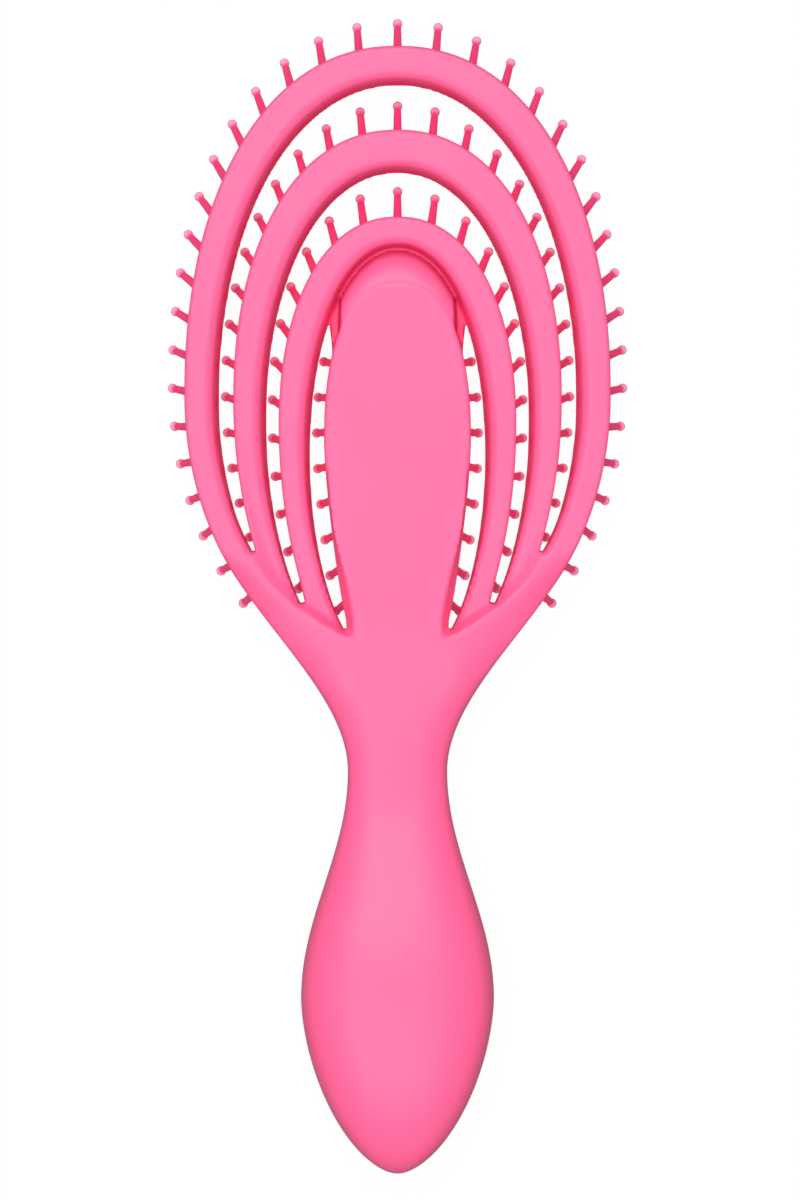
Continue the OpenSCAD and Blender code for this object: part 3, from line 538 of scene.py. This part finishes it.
def on_edge(edge, angle):
    """Points of an edge at angles in degrees from the crown: the sine and cosine, to the power that its
    fullness gives above the widest line, times its half width and its rise or reach."""
    half_w, wide_y, rise, fullness, reach = edge
    s, c = np.sin(np.radians(angle)), np.cos(np.radians(angle))
    p = np.where(c > 0, 2 / fullness, 1.0)
    y = wide_y + np.where(c > 0, rise * np.abs(c) ** p, reach * c)
    return np.stack([half_w * np.sign(s) * np.abs(s) ** p, y], 1)


def end_angle(edge, y):
    """Angle from the crown at which an edge comes down to a height, by the arc sine of its share of the
    reach."""
    return 90 + np.degrees(np.arcsin((edge[1] - y) / edge[4]))


def band_line(arch, y_end, inset):
    """The line down the right side of an arch, and on past y_end, that lies a distance in from its outer
    edge towards the point of its inner edge at the same share of the angle."""
    share = np.linspace(0, 1.2, 145)
    out, within = (on_edge(e, share * end_angle(e, y_end)) for e in arch)
    across = (within - out) / np.linalg.norm(within - out, axis=1, keepdims=True)
    return out + across * inset


def lengths(line):
    """Distances of a line's points along it, summed from point to point."""
    return np.concatenate([[0], np.cumsum(np.linalg.norm(np.diff(line, axis=0), axis=1))])


def along(line, distances):
    """Points at distances along a line, straight between its own points."""
    return np.stack([np.interp(distances, lengths(line), line[:, i]) for i in (0, 1)], 1)


def both_sides(line):
    """A line on the right side, carried on over the crown and down the left side."""
    return np.concatenate([line[:0:-1] * (-1, 1), line])


def grid_faces(rows, columns):
    """Four-sided faces of a grid of points that closes round its columns: each point, the next one in its
    row, and the two in the next row."""
    i, j = np.meshgrid(np.arange(rows - 1), np.arange(columns), indexing="ij")
    k = (j + 1) % columns
    corners = [i * columns + j, i * columns + k, (i + 1) * columns + k, (i + 1) * columns + j]
    return np.stack(corners, -1).reshape(-1, 4)


def pins(feet, tips):
    """Pins from feet on a strip's face to the centres of their balls: rings about each pin's own axis,
    whose radius flares at the root, tapers evenly along the stem and follows the sine of the angle round
    the ball."""
    foot = np.column_stack([feet, np.full(len(feet), foot_z)])
    tip = np.column_stack([tips, np.full(len(tips), ball_r)])
    span = tip - foot
    length = np.linalg.norm(span, axis=1)
    axis = span / length[:, None]
    side = np.cross(axis, (0, 0, 1.0))
    side /= np.linalg.norm(side, axis=1, keepdims=True)
    up = np.cross(axis, side)

    ball_turn = np.radians(np.linspace(132, 0, 8))
    root_d = np.array([-0.9, -0.2, 0.15, 0.5, 1.0])
    root_r = np.array([flare_r, flare_r, 1.12, 0.98, foot_r])
    stem = np.linspace(0, 1, 5)
    stem_from, stem_short = 1.4, 0.25
    stem_d = mix(stem_from, length[:, None] + ball_r * np.cos(ball_turn[0]) - stem_short, stem)
    stem_r_at = mix(foot_r, stem_r, stem) + 0 * stem_d
    each = 0 * length[:, None]
    d = np.concatenate([root_d + each, stem_d, length[:, None] + ball_r * np.cos(ball_turn)], 1)
    r = np.concatenate([root_r + each, stem_r_at, ball_r * np.sin(ball_turn) + each], 1)

    around = np.radians(np.arange(0, 360, 30))
    rings = (foot[:, None, None] + axis[:, None, None] * d[:, :, None, None]
             + r[:, :, None, None] * (side[:, None, None] * np.cos(around)[:, None]
                                      + up[:, None, None] * np.sin(around)[:, None]))
    n, rows, columns = rings.shape[:3]
    faces = grid_faces(rows, columns)[:, ::-1]
    return rings.reshape(-1, 3), (faces[None] + np.arange(n)[:, None, None] * rows * columns).reshape(-1, 4)


strip_corner, strip_end = 0.3, 0.4


def ribbon(inner, outer):
    """A flat strip between two lines: a squared ellipse for its section, which shrinks by a quarter of a
    sine wave at both ends, so that the ends are rounded too."""
    around = np.radians(np.arange(0, 360, 15))
    c = np.sign(np.cos(around)) * np.abs(np.cos(around)) ** strip_corner
    h = np.sign(np.sin(around)) * np.abs(np.sin(around)) ** strip_corner
    middle, half = (inner + outer) / 2, (outer - inner) / 2
    first, last = middle[0] - middle[1], middle[-1] - middle[-2]
    first, last = first / np.linalg.norm(first), last / np.linalg.norm(last)
    quarter = np.radians([0, 30, 60, 90])
    shares, reach = np.sin(quarter), strip_end * (1 - np.cos(quarter))
    size = np.concatenate([shares, np.ones(len(middle) - 2), shares[::-1]])
    middle = np.concatenate([middle[0] - first * reach[:, None], middle[1:-1],
                             middle[-1] - last * reach[::-1, None]])
    half = np.concatenate([half[[0] * len(quarter)], half[1:-1], half[[-1] * len(quarter)]])
    flat = middle[:, None] + half[:, None] * c[:, None] * size[:, None, None]
    z = foot_z + strip_t / 2 + h * strip_t / 2 * size[:, None]
    return np.dstack([flat, z]).reshape(-1, 3), grid_faces(len(middle), len(around))


def joined(*parts):
    """Several sets of points and faces as one, with each set's faces counted on from the points before
    it."""
    points, faces, start = [], [], 0
    for p, f in parts:
        points.append(p)
        faces.append(f + start)
        start += len(p)
    return np.concatenate(points), np.concatenate(faces)


def nylon_row(name, points, faces):
    """One nylon moulding as an object: doubles merged, open ends closed and faces turned outwards."""
    made = skin(name, points, faces, closed=False)
    bm = bmesh.new()
    bm.from_mesh(made.data)
    bmesh.ops.remove_doubles(bm, verts=bm.verts, dist=1e-6)
    bmesh.ops.holes_fill(bm, edges=[e for e in bm.edges if e.is_boundary], sides=0)
    bmesh.ops.recalc_face_normals(bm, faces=bm.faces)
    bm.to_mesh(made.data)
    bm.free()
    made.data.shade_smooth()
    return made


strip_over, strip_station = 1.25, 1.5


def row(name, arch, tips, bend_y, tip_end_y, pitch, tip_pitch, first, last, foot_shift=0.0, tip_shift=0.0):
    """A strip and its pins, counted down both sides from the crown. The feet are evenly spaced along the
    strip and the balls along their own curve, both lower than that by a half sine wave down an arch, and by
    one distance on the shoulders."""
    k = np.arange(first, last + 1)
    wave = np.ones(len(k)) if first else np.sin(np.pi * k / last)
    strip_line = band_line(arch, bend_y, strip_in + strip_w / 2)
    feet = along(strip_line, k * pitch + foot_shift * wave)
    tip_line = on_edge(tips, np.linspace(0, end_angle(tips, tip_end_y), 241))
    ends = along(tip_line, k * tip_pitch + tip_shift * wave)
    feet, ends = (np.concatenate([p, (p * (-1, 1))[k > 0]]) for p in (feet, ends))
    start = first * pitch + foot_shift - strip_over if first else 0
    stop = last * pitch + (foot_shift if first else 0) + strip_over
    stations = np.linspace(start, stop, int((stop - start) / strip_station))
    share = np.interp(stations, lengths(strip_line), np.arange(len(strip_line)))
    edges = []
    for inset in (strip_in, strip_in + strip_w):
        line = band_line(arch, bend_y, inset)
        edges.append(np.stack([np.interp(share, np.arange(len(line)), line[:, i]) for i in (0, 1)], 1))
    if first:
        strips = [ribbon(*edges), ribbon(*[e * (-1, 1) for e in edges])]
    else:
        strips = [ribbon(*[both_sides(e) for e in edges])]
    return nylon_row(name, *joined(*strips, pins(feet, ends)))


crown_lean, tip_rise = 6.3, 3.0


def tip_curve(arch, lean, fullness, reach):
    """The curve that the balls of a row lie on: the arch's outer edge, wider by the lean and higher at its
    crown and at its widest line."""
    half_w, wide_y, rise, _, _ = arch[0]
    return (half_w + lean, wide_y + tip_rise, rise + crown_lean - tip_rise, fullness, reach)


outer_tips = tip_curve(OUTER, 3.1, 2.18, 61.3)
middle_tips = tip_curve(MIDDLE, 2.1, 2.08, 59.4)
inner_tips = tip_curve(INNER, 1.7, 2.18, 58.4)
outer_pins = row("outer_pins", OUTER, outer_tips, bend_y=13.2, tip_end_y=8.2, pitch=7.103, tip_pitch=8.0,
                 first=0, last=16, foot_shift=2.6, tip_shift=1.6)
middle_pins = row("middle_pins", MIDDLE, middle_tips, bend_y=12.0, tip_end_y=7.0, pitch=6.647,
                  tip_pitch=7.499, first=0, last=14, foot_shift=1.1, tip_shift=1.1)
inner_pins = row("inner_pins", INNER, inner_tips, bend_y=seat_y, tip_end_y=-1.0, pitch=6.646,
                 tip_pitch=7.799, first=0, last=12)
shoulder_pins = row("shoulder_pins", OUTER, outer_tips, bend_y=13.2, tip_end_y=rim_low_y, pitch=7.103,
                    tip_pitch=8.0, first=17, last=18, foot_shift=1.4)
arch_bend(outer_pins)
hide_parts("outer_pin_strip")
arch_bend(middle_pins)
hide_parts("middle_pin_strip")
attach(inner_pins, "handle")
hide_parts("inner_pin_strip")
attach(shoulder_pins, "handle")
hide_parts("shoulder_pin_strips")


def pin_nylon():
    """Nylon of the pins: a little deeper than the soft-touch pink, with a trace of moulding grain, and
    painted light that turns the balls a lighter pink."""
    made, shader, place = finish_of("pin_nylon_pink", 0.3, 0.25)
    grain = place.noise(900.0, 2.0)
    height = Sum(place.tree, place.node("SeparateXYZ", i0=place).outputs[2])
    pink = grain.colour((0.95, 0.06, 0.24, 1), (0.9, 0.05, 0.21, 1))
    # Painted light: below 3.2 mm high the balls turn a lighter pink, as if fully lit
    height.rise(3.2, 2.2).colour(pink, (1.0, 0.4, 0.62, 1)).into(shader, "Base Color")
    (grain * 0.1 + 0.4).into(shader, "Roughness")
    bump = place.node("Bump", Height=grain, Strength=0.04, Distance=0.0001)
    Sum(place.tree, bump.outputs[0]).into(shader, "Normal")
    return made


nylon = pin_nylon()
for piece in (outer_pins, middle_pins, inner_pins, shoulder_pins):
    piece.data.materials.append(nylon)

# The tongue's pin pad. It is a nylon pad that closes the front of the tongue, moulded with one row of pins
# along each of its long sides and pressed in from the front.
pad_low_y, pad_in, strip_foot_r, foot_margin = -4.7, 0.6, 0.95, 0.3
tongue_pin_count, tongue_pitch, top_tip_y, tongue_lean, fan = 8, 7.25, 48.3, 3.6, 0.93


def tongue_side(y):
    """Half width of the tongue at a height, by its superellipse above the widest line."""
    v = np.clip((y - TONGUE[1]) / TONGUE[2], 0, 1)
    return np.where(y > TONGUE[1], TONGUE[0] * (1 - v ** TONGUE[3]) ** (1 / TONGUE[3]), tongue_low_side(y))


def pad():
    """The pad: the tongue's outline less its margin, closed at the tip by a square root, and carried in
    rings from the middle of its back over its rounded front edge to the middle of its front."""
    top_y = TONGUE[1] + TONGUE[2] - pad_in
    round_tip = np.sin(np.radians(np.linspace(4, 90, 30)))
    y = np.concatenate([np.linspace(pad_low_y, TONGUE[1], 24), mix(TONGUE[1], top_y, round_tip)])
    x = np.maximum(tongue_side(y) - pad_in, 0) * np.sqrt(np.clip(top_y - y, 0, 1))
    right = np.column_stack([x, y])
    outline = np.concatenate([right, right[-2::-1] * (-1, 1)])
    rings = [(0, strip_t), (1, strip_t), (1, 0.4), (0.985, 0.1), (0.96, 0), (0.6, 0), (0.3, 0), (0, 0)]
    grid = [np.column_stack([outline * (share, 1), np.full(len(outline), foot_z + z)]) for share, z in rings]
    return np.stack(grid).reshape(-1, 3), grid_faces(len(rings), len(outline))


tip_y = top_tip_y - tongue_pitch * np.arange(tongue_pin_count)
foot_y = mix(TONGUE[1], tip_y, fan)
from_edge = pad_in + strip_foot_r + foot_margin
feet = np.column_stack([tongue_side(foot_y) - from_edge, foot_y])
tips = np.column_stack([tongue_side(tip_y) - from_edge + tongue_lean, tip_y])
mirrored = [np.concatenate([p, p * (-1, 1)]) for p in (feet, tips)]
tongue_pins = nylon_row("tongue_pins", *joined(pad(), pins(*mirrored)))
tongue_pins.data.materials.append(nylon)
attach(tongue_pins, "handle")
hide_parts("tongue_pin_pad")

# The table and the studio. The brush lies on its pin tips and its grip on a white table. Three soft lights
# hang over its middle, above its crown and below its grip, and the camera looks straight down at it.
bpy.ops.mesh.primitive_grid_add(x_subdivisions=2, y_subdivisions=2, size=6)
floor = bpy.context.object
floor.name = "table_top"


def white_seen(tree, glossy_share):
    """How much of the white background a ray sees: all of it from the camera or through something clear,
    and a share of it as a reflection."""
    path = Sum(tree).node("LightPath").outputs
    kinds = ("Is Camera Ray", "Is Transmission Ray", "Is Glossy Ray")
    camera, clear, glossy = (Sum(tree, path[kind]) for kind in kinds)
    return camera.maths("MAXIMUM", camera.maths("MAXIMUM", camera, clear), glossy * glossy_share)


def white_table():
    """White paper: part of it glows where the background is seen, and the rest is plain and takes the
    shadows. From below it can be looked through."""
    made = bpy.data.materials.new("white_table")
    made.use_nodes = True
    tree = made.node_tree
    tree.nodes.clear()
    start = Sum(tree)
    paper = start.node("BsdfDiffuse", Color=(0.2, 0.2, 0.2, 1))
    glow = start.node("Emission", Color=(1, 1, 1, 1), Strength=1.2)
    lit = start.node("MixShader", i0=white_seen(tree, 0.2) * 0.8)
    tree.links.new(paper.outputs[0], lit.inputs[1])
    tree.links.new(glow.outputs[0], lit.inputs[2])
    shown = start.node("MixShader", i0=Sum(tree, start.node("NewGeometry").outputs["Backfacing"]))
    tree.links.new(lit.outputs[0], shown.inputs[1])
    tree.links.new(start.node("BsdfTransparent").outputs[0], shown.inputs[2])
    tree.links.new(shown.outputs[0], start.node("OutputMaterial").inputs[0])
    return made


floor.data.materials.append(white_table())

world = bpy.data.worlds.new("studio")
world.use_nodes = True
bpy.context.scene.world = world
background = world.node_tree.nodes["Background"]
background.inputs["Color"].default_value = (1, 1, 1, 1)
world_light = 0.12
(white_seen(world.node_tree, 0.35) * (1 - world_light) + world_light).into(background, "Strength")


def soft_light(name, place, wide, power, glossy=True):
    """A soft light of 0.3 m by its width that faces the brush, with or without a gloss of its own on it."""
    lamp = bpy.data.lights.new(name, "AREA")
    lamp.shape, lamp.size, lamp.size_y, lamp.energy = "RECTANGLE", wide, 0.3, power
    made = bpy.data.objects.new(name, lamp)
    bpy.context.scene.collection.objects.link(made)
    made.location = place
    made.rotation_euler = (-made.location).to_track_quat("-Z", "Y").to_euler()
    made.visible_glossy = glossy


soft_light("light_overhead", (-0.03, 0.0, 1.35), 0.25, 8.2, glossy=False)
soft_light("light_above_crown", (-0.12, 0.5, 1.4), 0.8, 9.2)
soft_light("light_below_grip", (-0.12, -0.42, 1.4), 0.9, 6.2)

camera_data = bpy.data.cameras.new("camera")
camera_data.lens, camera_data.sensor_width = 150, 36
camera = bpy.data.objects.new("camera", camera_data)
bpy.context.scene.collection.objects.link(camera)
camera.location = (0.0005, -0.00145, 1.019)
bpy.context.scene.camera = camera
bpy.context.scene.view_settings.view_transform = "Standard"
